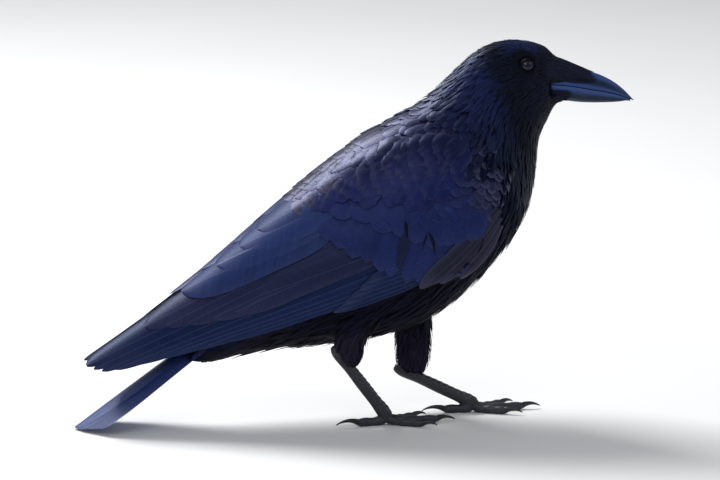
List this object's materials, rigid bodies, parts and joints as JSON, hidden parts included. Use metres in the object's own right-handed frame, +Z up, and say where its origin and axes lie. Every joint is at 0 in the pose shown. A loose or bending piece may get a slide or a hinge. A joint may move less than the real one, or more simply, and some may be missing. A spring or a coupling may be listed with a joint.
{
  "type": "carrion crow, museum model",
  "caption": "Life-size still model of a black crow in mid-stride on level ground, wings folded, tail tip resting on the floor.",
  "frame": {"origin": "on the floor, under the middle of the bounding box", "axes": "+X the way the bird faces, +Y to its left, +Z up"},
  "size_m": [0.3878, 0.114, 0.2654],
  "materials": {
    "plumage": "black body feathers, satin with a faint blue sheen",
    "wing_gloss": "black flight feathers with a blue-violet gloss",
    "tail_gloss": "black tail feathers with a blue-violet gloss",
    "shin_feathers": "dull black, short and loose feathers",
    "bill": "black horn, smooth with a soft shine",
    "eye": "very dark brown, wet gloss",
    "leg_scales": "black scaly skin, satin",
    "claw": "black horn, satin"
  },
  "bodies": {
    "root": {"head": "plumage", "neck": "plumage", "trunk": "plumage", "bill_upper": "bill", "bill_lower": "bill", "eye_right": "eye", "eye_left": "eye", "wing_right_coverts": "wing_gloss", "wing_right_tertials": "wing_gloss", "wing_right_secondaries": "wing_gloss", "wing_right_primaries": "wing_gloss", "wing_left_coverts": "wing_gloss", "wing_left_tertials": "wing_gloss", "wing_left_secondaries": "wing_gloss", "wing_left_primaries": "wing_gloss", "tail": "tail_gloss", "shin_right": "shin_feathers", "tarsus_right": "leg_scales", "foot_right": "leg_scales", "claw_right_hallux": "claw", "claw_right_inner": "claw", "claw_right_middle": "claw", "claw_right_outer": "claw", "shin_left": "shin_feathers", "tarsus_left": "leg_scales", "foot_left": "leg_scales", "claw_left_hallux": "claw", "claw_left_inner": "claw", "claw_left_middle": "claw", "claw_left_outer": "claw"}
  },
  "joints": []
}
